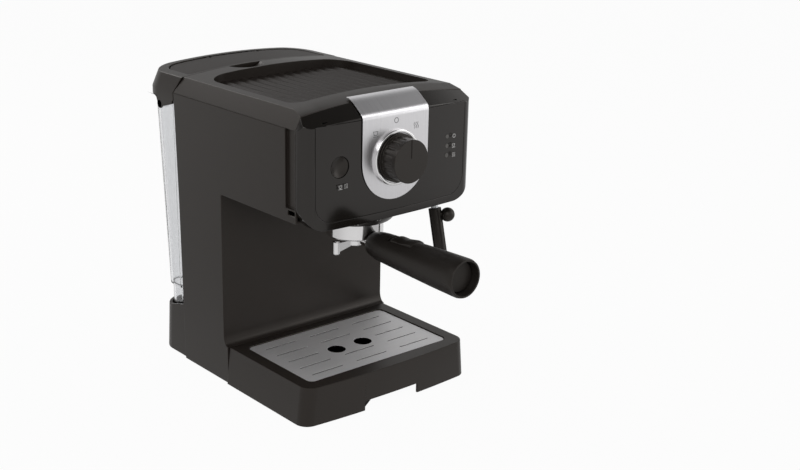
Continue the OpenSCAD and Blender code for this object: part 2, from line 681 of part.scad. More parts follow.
module selector_switch() color("#e8e4d8") difference() {
    union() {
        translate([-16, -83, knob_z - 16]) cube([32, 11, 32]);
        for (x = [-12, -4, 4, 12]) translate([x - 1.5, -75, knob_z + 15]) cube([3, 1, 9]);
        // posts up to the back of the panel frame
        for (x = [-13, 13], z = [-13, 13]) rod_y(x, knob_z + z, frame_back, -82, 2.5);
    }
    rod_y(0, knob_z, -90, -60, 3.3);
    rod_y(0, knob_z, -80.4, -75.6, 6.4);
}

module mode_button() color("#232120") difference() {
    union() {
        rod_y(button_x, knob_z, -89.2, -83, button_r);
        rod_y(button_x, knob_z, -85.1, -83, button_r + 2.6);
        rod_y(button_x, knob_z, -83.4, -66.8, 3);
    }
    translate([button_x, -89.2 - 20, knob_z]) sphere(23, $fn = 96);
}

module button_switch() color("#3b3b3d") difference() {
    union() {
        translate([button_x - 8, -68, knob_z - 8]) cube([16, 9, 16]);
        for (x = [-5, 5]) translate([button_x + x - 1, -60, knob_z - 2]) cube([2, 6, 4]);
        translate([button_x - 20, -68, knob_z - 12]) cube([40, 1.6, 24]);
    }
    rod_y(button_x, knob_z, -69, -63, 3.3);
}

module indicator_lenses() color("#8d8b88") for (z = led_z) {
    rod_y(led_x, z, -89, -80, 2);
    rod_y(led_x, z, -81, -79, 3.2);
}

module control_board() color("#2f5d3a") {
    translate([led_x - 14, -76, 226]) cube([28, 1.6, 40]);
    for (z = led_z) translate([led_x - 2.5, -79, z - 2.5]) cube([5, 3.1, 5]);
}

// ---- brewing group -------------------------------------------------------

module group_collar() color("#2a2827") translate([0, group_y, 0]) {
    translate([0, 0, 165.9]) tube(collar_r, 34.8, 1.4);
    translate([0, 0, 167.2]) tube(collar_r, 38.1, head_z - 167.2);
}

module group_head() color("#b9b9bb") translate([0, group_y, 0]) difference() {
    union() {
        translate([0, 0, 167.5]) tube(38, 34.6, 20);
        for (a = [0, 180]) translate([0, 0, 167.5]) sector(36, 29.6, ledge_z - 167.5, a, 60);
        translate([0, 0, 186]) cylinder(h = 18, r = 38);
        translate([0, 0, head_z + 6]) cylinder(h = 2, r = 43);
    }
    // water way and screw hole
    translate([0, 0, 180]) cylinder(h = 8, r = 2);
    for (x = [-9, 9]) translate([x, 0, 180]) cylinder(h = 40, r = 2);
}

module group_gasket() color("#222222") translate([0, group_y, gasket_z]) tube(30, 24.4, 186 - gasket_z);

module shower_screen() color("#c4c4c6") translate([0, group_y, 0]) difference() {
    union() {
        translate([0, 0, 179.4]) cylinder(h = 1.2, r = 23.6);
        translate([0, 0, 180.4]) tube(23.6, 22, 5.6);
    }
    translate([0, 0, 170]) cylinder(h = 20, r = 2.4);
    for (k = [1 : 3], i = [0 : 6 * k - 1]) rotate([0, 0, 60 * i / k]) translate([6 * k, 0, 170]) cylinder(h = 15, r = 0.9, $fn = 16);
}

module screen_screw() color("#a8a8aa") translate([0, group_y, 0]) {
    translate([0, 0, 177.4]) cylinder(h = 2, r = 4);
    translate([0, 0, 179]) cylinder(h = 9, r = 2);
}

module boiler_base() color("#a9a9ac") translate([0, group_y, 204]) difference() {
    union() {
        cylinder(h = 8, r = 40);
        for (a = [45 : 90 : 315]) rotate([0, 0, a]) translate([41.5, 0, 0]) cylinder(h = 8, r = 5);
    }
    translate([0, 0, 3]) cylinder(h = 10, r = 34);
    for (x = [-9, 9]) translate([x, 0, -1]) cylinder(h = 10, r = 2);
    for (a = [45 : 90 : 315]) rotate([0, 0, a]) translate([41, 0, -1]) cylinder(h = 12, r = 2.2);
}

module boiler_dome() color("#b4b4b7") translate([0, group_y, 212]) difference() {
    union() {
        cylinder(h = 6, r = 40);
        for (a = [45 : 90 : 315]) rotate([0, 0, a]) translate([41.5, 0, 0]) cylinder(h = 6, r = 5);
        cylinder(h = 34, r = 36);
        translate([0, 0, 34]) cylinder(h = 10, r1 = 36, r2 = 24);
        // heating tube cast in a bead round the dome, with its two ends behind
        translate([0, 0, 14]) rotate_extrude() polygon([[34, -4], [37, -3.4], [38, -1.6], [38, 1.6], [37, 3.4], [34, 4]]);
        for (x = [-8, 8]) rod_y(x, 14, 36, 52, 1.8);
        // ports of the water hose and the steam pipe
        for (y = [-18, 18]) translate([0, y, 43]) cylinder(h = 4, r = 3.6);
    }
    translate([0, 0, -1]) cylinder(h = 32, r = 33);
    for (a = [45 : 90 : 315]) rotate([0, 0, a]) translate([41, 0, -1]) cylinder(h = 12, r = 2.2);
}

module boiler_bolts() color("#8f8f92") translate([0, group_y, 0])
    for (a = [45 : 90 : 315]) rotate([0, 0, a]) translate([41, 0, 0]) {
        translate([0, 0, 204]) cylinder(h = 16, r = 2.1);
        translate([0, 0, 218]) cylinder(h = 4, r = 3.8, $fn = 6);
    }

module thermostats() color("#d9d2c2") translate([0, group_y, 256]) for (x = [-13, 13]) translate([x, 0, 0]) {
    cylinder(h = 6, r = 8);
    for (s = [-1, 1]) translate([s * 5 - 0.4, -3, 5]) cube([0.8, 6, 9]);
}

module steam_valve() color("#c9a05a") difference() {
    union() {
        translate([52, -66, 214]) cube([18, 20, 16]);
        translate([wand[0], wand[1], head_z + 2.5]) cylinder(h = 30, r = 8);
        rod_x(-56, 222, 60, 74, 5);
        rod_x(-56, 222, 48, 54, 4);
    }
    translate([wand[0], wand[1], head_z]) cylinder(h = 20, r = 3);
}

module steam_line() color("#c07a3e")
    hose([[0, group_y - 18, 259], [0, group_y - 18, 271], [38, -54, 271], [38, -56, 222], [48, -56, 222]],
        1.8, [0.3, 1, 0.1]);

module pump() color("#cfd2d4") {
    translate([0, 80, 62]) cylinder(h = 58, r = 11);
    translate([0, 80, 48]) cylinder(h = 16, r = 5);
    translate([0, 80, 118]) cylinder(h = 14, r = 8);
    translate([0, 80, 130]) cylinder(h = 9, r = 4);
}

module pump_coil() color("#2b2b2e") difference() {
    translate([-21, 60, 72]) cube([42, 40, 36]);
    translate([0, 80, 60]) cylinder(h = 60, r = 11.2);
}

module pump_bracket() color("#9a9a9c") {
    difference() {
        translate([-30, column_y + wall, 142]) cube([60, 56, 2]);
        translate([0, 80, 140]) cylinder(h = 8, r = 9.4);
    }
    difference() {
        translate([-30, column_y + wall, 54]) cube([60, 56, 2]);
        translate([0, 80, 50]) cylinder(h = 8, r = 9.4);
    }
    translate([-30, column_y + wall, 54]) cube([60, 2, 90]);
}

module pump_mounts() color("#1f1f20") {
    translate([0, 80, 132.2]) difference() {
        union() {
            cylinder(h = 9.8, r = 12);
            cylinder(h = 12, r = 9.2);
        }
        translate([0, 0, -1]) cylinder(h = 20, r = 4.2);
    }
    translate([0, 80, 54]) difference() {
        union() {
            cylinder(h = 2, r = 9.2);
            translate([0, 0, 2]) cylinder(h = 5.8, r = 12);
        }
        translate([0, 0, -1]) cylinder(h = 20, r = 5.2);
    }
}

module suction_hose() color("#dcdcd6")
    hose([[0, valve_y, 22], [0, valve_y, hose_z], [0, 128, hose_z], [0, 95, hose_z], [0, 80, 18], [0, 80, 48]],
        2.6, [1, 0, 0]);

module pressure_hose() color("#e6e6e0")
    hose([[0, 80, 139], [0, 80, 200], [0, 60, 258], [0, 10, 273], [0, group_y + 18, 273], [0, group_y + 18, 259]],
        2.2, [1, 0, 0]);

// ---- steam pipe ----------------------------------------------------------

module wand_socket() color("#2a2827") translate(wand) difference() {
    translate([0, 0, -3]) cylinder(h = head_z - wand[2] + 3, r = 12);
    sphere(7.8);
    translate([0, 0, -10]) cylinder(h = 10, r = 7.2);
    cylinder(h = 20, r = 3);
}

module steam_wand() color("#b5b5b8") translate(wand) {
    sphere(7.4);
    rotate([wand_lean, 0, 0]) translate([0, 0, -88]) cylinder(h = 88, r = 3.4);
}

module wand_sleeve() color("#242221") translate(wand) rotate([wand_lean, 0, 0]) difference() {
    translate([0, 0, -74]) cylinder(h = 61, r = 6.2);
    translate([0, 0, -75]) cylinder(h = 63, r = 3.45);
    // two long grooves along the sleeve
    for (a = [-115, -65]) rotate([0, 0, a]) translate([6.8, 0, -72]) cylinder(h = 57, r = 1.5);
}

module wand_grip() color("#242221") difference() {
    union() {
        rod(wand + [0, -4.2, -17], [87, -76, 171], 2.6);
        translate([87, -76, 171]) sphere(7);
    }
    translate(wand) rotate([wand_lean, 0, 0]) translate([0, 0, -75]) cylinder(h = 70, r = 6.22);
}

module wand_tip() color("#c9c9cc") translate(wand) rotate([wand_lean, 0, 0]) difference() {
    union() {
        translate([0, 0, -94]) cylinder(h = 12, r = 4.6);
        translate([0, 0, -97]) cylinder(h = 3, r1 = 2.6, r2 = 4.6);
    }
    translate([0, 0, -89]) cylinder(h = 10, r = 3.42);
    translate([0, 0, -99]) cylinder(h = 12, r = 1);
}

// ---- filter holder -------------------------------------------------------

module filter_holder() color("#cfcfd2") difference() {
    union() {
        translate([0, group_y, bowl_z]) cylinder(h = 177 - bowl_z, r = bowl_r);
        translate([0, group_y, bowl_z - 3]) cylinder(h = 4, r1 = 12, r2 = 20);
        for (a = [0, 180]) translate([0, group_y, ledge_z + gap]) sector(33.9, 26, 3.5, a, 32);
        rod_y(0, handle_z + 2, -78, -50, 7.5);
    }
    translate([0, group_y, bowl_z + 2.5]) cylinder(h = 40, r = bowl_r - 2.5);
    translate([0, group_y, bowl_z - 5]) cylinder(h = 10, r = 4);
    rod_y(0, handle_z + 2, -80, -64, 3.2);
}

module filter_basket() color("#c2c2c5") translate([0, group_y, 0]) difference() {
    union() {
        translate([0, 0, 161]) cylinder(h = 16, r = bowl_r - 2.8);
        translate([0, 0, 177]) cylinder(h = 0.8, r = bowl_r - 0.3);
    }
    translate([0, 0, 161.8]) cylinder(h = 20, r = bowl_r - 3.6);
    for (k = [1 : 3], i = [0 : 6 * k - 1]) rotate([0, 0, 60 * i / k]) translate([6 * k, 0, 150]) cylinder(h = 20, r = 0.8, $fn = 16);
}

module twin_spout() color("#cfcfd2") translate([0, group_y, 0]) difference() {
    union() {
        translate([0, 0, 145]) cylinder(h = 8, r = 7.5);
        translate([0, 0, 152]) cylinder(h = 8, r = 3.9);
        for (s = [-1, 1]) {
            rod([0, 0, 148.2], [s * spout_x, 0, 149.1], 4);
            translate([s * spout_x, 0, 139]) cylinder(h = 13.5, r = 4.8);
            translate([s * spout_x, 0, 152.5]) cylinder(h = 1.2, r1 = 4.8, r2 = 3.6);
        }
    }
    translate([0, 0, 148]) cylinder(h = 20, r = 2.4);
    for (s = [-1, 1]) {
        rod([0, 0, 148.8], [s * spout_x, 0, 149.3], 2.2);
        translate([s * spout_x, 0, 138]) cylinder(h = 13, r = 3.2);
    }
}

module handle() color("#2b2927") difference() {
    union() {
        translate([0, 0, handle_z]) rotate([90, 0, 0]) rotate_extrude() polygon([[0, 65], [9.2, 65], [10.3, 66.4],
            [10.3, 75.6], [13.2, 76.2], [14.2, 79], [14.6, 88], [16.2, 120], [17.6, 152], [handle_r, 180], [handle_r, 184.6],
            [17.4, -handle_y], [15.2, -handle_y], [14.4, -handle_y - 9], [0, -handle_y - 9]]);
        // ears for the clip's pin
        for (s = [-1, 1]) translate([s * 8 - 1.6, clip_y - 5, 160]) cube([3.2, 10, 13]);
    }
    // flat and pocket under the clip
    translate([-6.3, clip_y - 40, 168]) cube([12.6, 42, 20]);
    translate([-6.3, clip_y - 2, 162]) cube([12.6, 30, 20]);
    rod_x(clip_y, clip_z, -20, 20, 1.6);
    rod_y(0, handle_z + 2, -79, -60, 7.6);
    rod_y(0, handle_z + 2, -200, -60, 3.2);
    rod_y(0, handle_z + 2, -200, -170, 6.2);
}

module handle_bolt() color("#9a9a9d") {
    rod_y(0, handle_z + 2, -172, -66, 3);
    rod_y(0, handle_z + 2, -176, -170, 6);
}

module handle_cap() color("#1f1d1c") rod_y(0, handle_z, handle_y + 5.6, handle_y + 8.9, 14.2);

module filter_clip() color("#262423") difference() {
    union() {
        rod_x(clip_y, clip_z, -5.9, 5.9, 3);
        along_x(11.8) polygon([[clip_y + 1, clip_z - 2.4], [clip_y + 6, clip_z - 3], [clip_y + 8, clip_z - 1.5],
            [clip_y + 7, clip_z + 0.6], [clip_y + 2, clip_z + 2.9], [clip_y - 6, clip_z + 2], [clip_y - 10, clip_z + 1],
            [clip_y - 14, clip_z + 3], [clip_y - 30, clip_z + 3.6], [clip_y - 36, clip_z + 2],
            [clip_y - 38, clip_z - 1.6], [clip_y - 34, clip_z - 2.6]]);
    }
    rod_x(clip_y, clip_z, -10, 10, 1.6);
    for (i = [0 : 3]) translate([-10, clip_y - 18 - 4 * i, clip_z + 2.9]) cube([20, 1.4, 3]);
}

module clip_pin() color("#b0b0b2") rod_x(clip_y, clip_z, -9.6, 9.6, 1.5);

module housing_screws() color("#77787a") for (x = [-90, 90], z = screw_z) {
    rod_y(x, z, panel_front(z) - 10, panel_front(z) + 3, 1.8);
    rod_y(x, z, panel_front(z) + wall + 0.2, panel_front(z) + wall + 1.8, 3.4);
}

main_housing();
rear_panel();
top_cover();
cup_tray();
head_floor();
front_frame();
control_panel();
trim_strip();
base_plate();
feet();
tank_socket();
cord_inlet();
water_inlet();
inlet_seal();
water_tank();
tank_valve();
tank_cover();
tank_flap();
drip_tray();
drip_grid();
knob_ring();
selector_knob();
knob_shaft();
selector_switch();
mode_button();
button_switch();
indicator_lenses();
control_board();
group_collar();
group_head();
group_gasket();
shower_screen();
screen_screw();
boiler_base();
boiler_dome();
boiler_bolts();
thermostats();
steam_valve();
steam_line();
pump();
pump_coil();
pump_mounts();
suction_hose();
pressure_hose();
pump_bracket();
wand_socket();
steam_wand();
wand_sleeve();
wand_grip();
wand_tip();
filter_holder();
filter_basket();
twin_spout();
handle();
handle_bolt();
handle_cap();
filter_clip();
clip_pin();
housing_screws();
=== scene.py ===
import json
from math import cos, hypot, pi, radians, sin

import bmesh
import bpy
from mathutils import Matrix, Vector


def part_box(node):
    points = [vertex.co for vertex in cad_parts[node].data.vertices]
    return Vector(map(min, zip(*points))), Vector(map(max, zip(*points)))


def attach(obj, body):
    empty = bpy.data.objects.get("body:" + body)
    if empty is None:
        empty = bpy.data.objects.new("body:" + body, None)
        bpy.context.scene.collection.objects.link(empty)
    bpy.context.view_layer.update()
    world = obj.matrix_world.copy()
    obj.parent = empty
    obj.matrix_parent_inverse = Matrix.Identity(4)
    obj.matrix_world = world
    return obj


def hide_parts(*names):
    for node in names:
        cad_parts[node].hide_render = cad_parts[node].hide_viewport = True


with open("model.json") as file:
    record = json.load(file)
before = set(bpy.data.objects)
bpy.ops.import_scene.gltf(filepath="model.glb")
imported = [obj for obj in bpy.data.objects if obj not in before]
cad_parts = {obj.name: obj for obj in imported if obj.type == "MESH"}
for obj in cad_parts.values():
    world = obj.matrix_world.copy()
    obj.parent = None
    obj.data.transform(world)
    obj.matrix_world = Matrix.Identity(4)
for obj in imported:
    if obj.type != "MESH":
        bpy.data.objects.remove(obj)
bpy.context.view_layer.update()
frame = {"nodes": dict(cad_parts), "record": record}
mm = 0.001

# ---- tools ----


def only(piece):
    bpy.ops.object.select_all(action="DESELECT")
    piece.select_set(True)
    bpy.context.view_layer.objects.active = piece


def settle(piece):
    # the place, turn and size of a piece go into its mesh
    only(piece)
    bpy.ops.object.transform_apply(location=True, rotation=True, scale=True)
    return piece


def startEdit(piece):
    only(piece)
    bpy.ops.object.mode_set(mode="EDIT")
    bpy.ops.mesh.select_mode(type="VERT")
    bpy.ops.mesh.select_all(action="SELECT")


def endEdit():
    bpy.ops.object.mode_set(mode="OBJECT")


def pickFaces(piece, test):
    # in edit mode: selects the faces whose centre and normal pass the test
    bpy.ops.mesh.select_mode(type="FACE")
    bpy.ops.mesh.select_all(action="DESELECT")
    net = bmesh.from_edit_mesh(piece.data)
    for face in net.faces:
        if test(face.calc_center_median(), face.normal):
            face.select_set(True)
    bmesh.update_edit_mesh(piece.data)


def pickPoints(piece, test):
    # in edit mode: selects the points whose place passes the test
    bpy.ops.mesh.select_mode(type="VERT")
    bpy.ops.mesh.select_all(action="DESELECT")
    net = bmesh.from_edit_mesh(piece.data)
    for point in net.verts:
        if test(point.co):
            point.select_set(True)
    net.select_flush(True)
    bmesh.update_edit_mesh(piece.data)


def finishWith(piece, kind, **settings):
    only(piece)
    modifier = piece.modifiers.new(kind.title(), kind)
    for key, value in settings.items():
        setattr(modifier, key, value)
    bpy.ops.object.modifier_apply(modifier=modifier.name)


def soften(piece, width, steps=2, corner=30):
    # rounds the sharp edges and shades the rest smooth, with broad faces kept flat
    if width:
        finishWith(piece, "BEVEL", width=width * mm, segments=steps, limit_method="ANGLE",
                   angle_limit=radians(corner), use_clamp_overlap=False, miter_outer="MITER_ARC")
    only(piece)
    bpy.ops.object.shade_smooth_by_angle(angle=radians(corner))
    finishWith(piece, "WEIGHTED_NORMAL", weight=100, keep_sharp=True)
    return piece


def carve(piece, tool, operation="DIFFERENCE"):
    # cuts a tool out of a piece, or adds it; the tool is used up
    finishWith(piece, "BOOLEAN", operation=operation, object=tool, solver="EXACT")
    bpy.data.objects.remove(tool)
    return piece


def block(low, high, name="tool"):
    # a box between two corners in mm
    size = [b - a for a, b in zip(low, high)]
    bpy.ops.object.select_all(action="DESELECT")
    middle = [(a + b) / 2 * mm for a, b in zip(low, high)]
    bpy.ops.mesh.primitive_cube_add(size=1, location=middle)
    piece = bpy.context.active_object
    piece.name = name
    piece.scale = [side * mm for side in size]
    return settle(piece)


def joined(name, *parts):
    only(parts[0])
    for part in parts:
        part.select_set(True)
    if len(parts) > 1:
        bpy.ops.object.join()
    parts[0].name = name
    parts[0].data.name = name
    return parts[0]


def startDrawing(name, first):
    # a mesh of one point to draw an outline from
    bpy.ops.object.select_all(action="DESELECT")
    bpy.ops.mesh.primitive_plane_add(size=mm)
    piece = bpy.context.active_object
    piece.name = name
    piece.data.name = name
    startEdit(piece)
    bpy.ops.mesh.merge(type="CENTER")
    bpy.ops.transform.translate(value=Vector(first) * mm)
    return piece


def drawOn(points):
    for start, end in zip(points, points[1:]):
        step = (Vector(end) - Vector(start)) * mm
        bpy.ops.mesh.extrude_vertices_move(TRANSFORM_OT_translate={"value": step})


def arcPoints(centre, radius, start, end, steps):
    turn = (end - start) / steps
    angles = [radians(start + turn * i) for i in range(steps + 1)]
    return [(centre[0] + radius * cos(angle), centre[1] + radius * sin(angle)) for angle in angles]


turns = {"up": (0, 0, 0), "front": (pi / 2, 0, 0)}
weld = 0.000002  # points closer than this are one, m


def lathe(name, outline, centre, towards="up", steps=96, closed=False):
    # spins an outline of (radius, height) points, in mm, round an axis through centre
    points = [(radius, 0, height) for radius, height in outline]
    if closed:
        points.append(points[0])
    piece = startDrawing(name, points[0])
    drawOn(points)
    bpy.ops.mesh.select_all(action="SELECT")
    bpy.ops.mesh.spin(steps=steps, angle=2 * pi, center=(0, 0, 0), axis=(0, 0, 1))
    bpy.ops.mesh.select_all(action="SELECT")
    bpy.ops.mesh.remove_doubles(threshold=weld)
    bpy.ops.mesh.normals_make_consistent(inside=False)
    endEdit()
    piece.rotation_euler = turns[towards]
    piece.location = Vector(centre) * mm
    return settle(piece)


def plate(name, outline, depth, centre, towards="up"):
    # an outline of (across, along) points, in mm, filled and made depth thick
    points = [(a, b, 0) for a, b in outline]
    piece = startDrawing(name, points[0])
    drawOn(points + [points[0]])
    bpy.ops.mesh.select_all(action="SELECT")
    bpy.ops.mesh.remove_doubles(threshold=weld)
    bpy.ops.mesh.edge_face_add()
    bpy.ops.mesh.extrude_region_move(TRANSFORM_OT_translate={"value": (0, 0, depth * mm)})
    bpy.ops.mesh.select_all(action="SELECT")
    bpy.ops.mesh.normals_make_consistent(inside=False)
    endEdit()
    piece.rotation_euler = turns[towards]
    piece.location = Vector(centre) * mm
    return settle(piece)


def cleanCopy(node):
    # a CAD node's own shape, merged so that it can be worked on
    piece = bpy.data.objects.new(node + "_shell", frame["nodes"][node].data.copy())
    bpy.context.scene.collection.objects.link(piece)
    piece.data.materials.clear()
    only(piece)
    bpy.ops.mesh.customdata_custom_splitnormals_clear()
    startEdit(piece)
    bpy.ops.mesh.remove_doubles(threshold=0.000005)
    bpy.ops.mesh.dissolve_limited(angle_limit=radians(0.3))
    endEdit()
    return piece


def softCopy(node, width, steps=2, corner=30):
    return soften(cleanCopy(node), width, steps, corner)


def place(piece, body, slotName, *nodes):
    # rides a piece on its body, finishes it and hides the CAD nodes it stands for
    piece.data.materials.clear()
    piece.data.materials.append(finishes[slotName])
    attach(piece, body)
    if nodes:
        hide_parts(*nodes)
    return piece


# ---- finishes ----


class Wire:
    # one value in a material's sums; + - and * add the nodes
    def __init__(self, look, socket):
        self.look = look
        self.socket = socket

    def sum(self, operation, first, second):
        return self.look.node("ShaderNodeMath", {"operation": operation}, {0: first, 1: second})

    def __add__(self, other):
        return self.sum("ADD", self, other)

    def __radd__(self, other):
        return self.sum("ADD", other, self)

    def __sub__(self, other):
        return self.sum("SUBTRACT", self, other)

    def __rsub__(self, other):
        return self.sum("SUBTRACT", other, self)

    def __mul__(self, other):
        return self.sum("MULTIPLY", self, other)

    def __rmul__(self, other):
        return self.sum("MULTIPLY", other, self)


class Look:
    # a material, or the world, whose nodes are added one call at a time
    def __init__(self, owner):
        self.owner = owner
        owner.use_nodes = True
        self.tree = owner.node_tree
        self.shader = self.tree.nodes.get("Principled BSDF")

    def node(self, kind, settings=None, values=None, output=0):
        box = self.tree.nodes.new(kind)
        for key, value in (settings or {}).items():
            if key == "stops":
                while len(box.color_ramp.elements) < len(value):
                    box.color_ramp.elements.new(0.5)
                for element, (position, colour) in zip(box.color_ramp.elements, value):
                    element.position = position
                    element.color = colour
            else:
                setattr(box, key, value)
        for key, value in (values or {}).items():
            if isinstance(value, Wire):
                self.tree.links.new(value.socket, box.inputs[key])
            else:
                box.inputs[key].default_value = value
        return Wire(self, box.outputs[output])

    def where(self):
        return self.node("ShaderNodeTexCoord", output="Object")

    def stretched(self, factors):
        return self.node("ShaderNodeVectorMath", {"operation": "MULTIPLY"}, {0: self.where(), 1: factors})

    def noise(self, scale, detail=2.0, vector=None):
        return self.node("ShaderNodeTexNoise", None,
                         {"Vector": vector or self.where(), "Scale": scale, "Detail": detail})

    def blend(self, share, first, second):
        first, second = ((*colour, 1) if isinstance(colour, tuple) else colour for colour in (first, second))
        return self.node("ShaderNodeMix", {"data_type": "RGBA"}, {0: share, 6: first, 7: second}, 2)

    def relief(self, height, distance):
        bump = self.node("ShaderNodeBump", None, {"Height": height, "Distance": distance, "Strength": 1.0})
        self.feed(Normal=bump)

    def feed(self, **inputs):
        for key, value in inputs.items():
            target = self.shader.inputs[key.replace("_", " ")]
            if isinstance(value, Wire):
                self.tree.links.new(value.socket, target)
            elif isinstance(value, tuple):
                target.default_value = (*value, 1)
            else:
                target.default_value = value


def shade(colour, factor):
    return tuple(min(1, channel * factor) for channel in colour)


def moulded(name, colour, roughness, grain=0.012, grainScale=2400, gloss=0.5):
    # injection moulded plastic: fine spark grain, faint flow patches
    look = Look(bpy.data.materials.new(name))
    spark = look.noise(grainScale, 3)
    patch = look.noise(18, 2)
    look.feed(Base_Color=look.blend(patch, shade(colour, 0.85), shade(colour, 1.15)),
              Roughness=roughness + 0.08 * (patch - 0.5) + 0.1 * (spark - 0.5), Specular_IOR_Level=gloss,
              Specular_Tint=(1, 0.93, 0.87))
    look.relief(spark, grain * mm)
    return look.owner


def polished(name, colour, roughness):
    # high gloss plastic: a slight orange-peel wave and fine wiping marks
    look = Look(bpy.data.materials.new(name))
    wave = look.noise(70, 1)
    haze = look.noise(900, 3, look.stretched((1, 1, 0.15)))
    look.feed(Base_Color=look.blend(wave, shade(colour, 0.9), shade(colour, 1.1)),
              Roughness=roughness + 0.05 * haze, Specular_Tint=(1, 0.95, 0.92))
    look.relief(wave, 0.02 * mm)
    return look.owner


def brushed(name, colour, roughness, along, topFace=None):
    # sheet steel brushed along one direction: fine streaks of tone and gloss; below its top face, at a height in mm,
    # the walls of its slots get painted shade, a near black colour in place of the shade that falls in them
    look = Look(bpy.data.materials.new(name))
    fine = look.noise(1, 3, look.stretched(tuple(40 if a else 5200 for a in along)))
    broad = look.noise(1, 2, look.stretched(tuple(9 if a else 700 for a in along)))
    streaks = 0.65 * fine + 0.35 * broad
    tone = look.blend(streaks, shade(colour, 0.86), shade(colour, 1.12))
    if topFace:
        height = look.node("ShaderNodeSeparateXYZ", None, {0: look.where()}, 2)
        above = look.node("ShaderNodeMapRange", None,
                          {0: height, 1: (topFace - 0.4) * mm, 2: (topFace - 0.15) * mm, 3: 0.0, 4: 1.0})
        # painted shade: below the top face the slot walls take a near black colour
        tone = look.blend(above, (0.02, 0.02, 0.02), tone)
    look.feed(Base_Color=tone, Metallic=1.0, Roughness=roughness + 0.16 * (streaks - 0.5))
    look.relief(streaks, 0.006 * mm)
    return look.owner


def cleanMetal(name, colour, roughness, grain=0.003, scale=900):
    # plated, cast or drawn metal: faint clouds of tone and a fine grain, deeper in castings
    look = Look(bpy.data.materials.new(name))
    cloud = look.noise(scale, 3)
    broad = look.noise(60, 2)
    look.feed(Base_Color=look.blend(broad, shade(colour, 0.93), shade(colour, 1.05)),
              Metallic=1.0, Roughness=roughness + 0.06 * broad + 0.05 * cloud)
    look.relief(cloud, grain * mm)
    return look.owner


def clearPlastic(name, colour, roughness):
    # clear moulding: faint flow lines down the wall
    look = Look(bpy.data.materials.new(name))
    flow = look.noise(1, 2, look.stretched((60, 60, 6)))
    look.feed(Base_Color=look.blend(flow, shade(colour, 0.97), colour),
              Roughness=roughness + 0.02 * flow, Transmission_Weight=1.0, IOR=1.49)
    look.relief(flow, 0.05 * mm)
    return look.owner


def printed(name, colour):
    # pad-printed ink, slightly uneven
    look = Look(bpy.data.materials.new(name))
    speck = look.noise(1500, 2)
    look.feed(Base_Color=look.blend(speck, shade(colour, 0.9), colour),
              Roughness=0.5 + 0.1 * speck)
    return look.owner


finishes = {
    "satin_black": moulded("satin_black", (0.0175, 0.0140, 0.0118), 0.36, gloss=0.36),
    "ribbed_black": moulded("ribbed_black", (0.0175, 0.0140, 0.0122), 0.52, 0.02, 1900, 0.3),
    "gloss_black": polished("gloss_black", (0.0085, 0.0072, 0.0060), 0.1),
    "brushed_steel": brushed("brushed_steel", (0.74, 0.73, 0.745), 0.3, (0, 1, 1)),
    "grid_steel": brushed("grid_steel", (0.96, 0.94, 0.955), 0.6, (1, 0, 0), 38.8),
    "base_black": moulded("base_black", (0.012, 0.011, 0.0105), 0.55),
    "rubber_black": moulded("rubber_black", (0.016, 0.015, 0.015), 0.75, 0.03, 1500, 0.3),
    "clear_tank": clearPlastic("clear_tank", (0.8, 0.805, 0.815), 0.03),
    "white_plastic": moulded("white_plastic", (0.72, 0.71, 0.68), 0.45, 0.006),
    "chrome": cleanMetal("chrome", (0.8, 0.79, 0.79), 0.05),
    "knob_black": moulded("knob_black", (0.0165, 0.0140, 0.0122), 0.34, 0.01, 3000, 0.4),
    "zinc_steel": cleanMetal("zinc_steel", (0.56, 0.57, 0.58), 0.32, 0.01, 1400),
    "switch_black": moulded("switch_black", (0.02, 0.02, 0.022), 0.5),
    "lens_grey": polished("lens_grey", (0.11, 0.105, 0.1), 0.3),
    "board_green": moulded("board_green", (0.03, 0.12, 0.05), 0.5, 0.02, 500),
    # painted light: the collar's black is raised well above the other blacks to stand in for the light its lower
    # flare reflects
    "collar_black": moulded("collar_black", (0.045, 0.041, 0.038), 0.34, 0.006, 2800),
    "cast_aluminium": cleanMetal("cast_aluminium", (0.6, 0.6, 0.61), 0.5, 0.08, 700),
    "stainless": brushed("stainless", (0.6, 0.6, 0.61), 0.24, (1, 1, 0)),
    "ceramic_cream": moulded("ceramic_cream", (0.6, 0.55, 0.45), 0.6, 0.02, 1200),
    "brass": cleanMetal("brass", (0.74, 0.53, 0.24), 0.28, 0.01, 1200),
    "copper": cleanMetal("copper", (0.77, 0.42, 0.28), 0.26, 0.01, 1200),
    "hose_clear": moulded("hose_clear", (0.68, 0.68, 0.64), 0.35, 0.01, 900),
    "handle_black": moulded("handle_black", (0.0145, 0.0122, 0.0104), 0.42, 0.012, 2600, 0.35),
    "print_white": printed("print_white", (0.62, 0.61, 0.6)),
    "print_grey": printed("print_grey", (0.17, 0.17, 0.175)),
}
slotOf = {row["node"]: row["material_slot"] for row in frame["record"]["subparts"]}
for row in frame["record"]["subparts"]:
    node = frame["nodes"][row["node"]]
    node.data.materials.clear()
    node.data.materials.append(finishes[row["material_slot"]])
print("finishes made:", len(finishes))

# ---- body ----

shells = {  # node: body, edge radius in mm
    "main_housing": ("root", 0.8), "head_floor": ("root", 0.4), "front_frame": ("root", 0.5),
    "tank_socket": ("root", 0.8), "rear_panel": ("root", 0.4), "tank_cover": ("tank", 0.7),
    "tank_flap": ("flap", 0.6), "drip_tray": ("tray", 0.8),
}
for node, (body, edge) in shells.items():
    place(softCopy(node, edge), body, slotOf[node], node)

# the cover's square notch, which is closed again, and the ball that cuts the scoop instead
notch = {"left": -39, "right": -5, "front": 95.5, "back": 116, "bottom": 295, "rimLow": 301.5, "rimHigh": 302.9}
scoop = {"centre": (-22, 117.4, 329.2), "radius": 33}


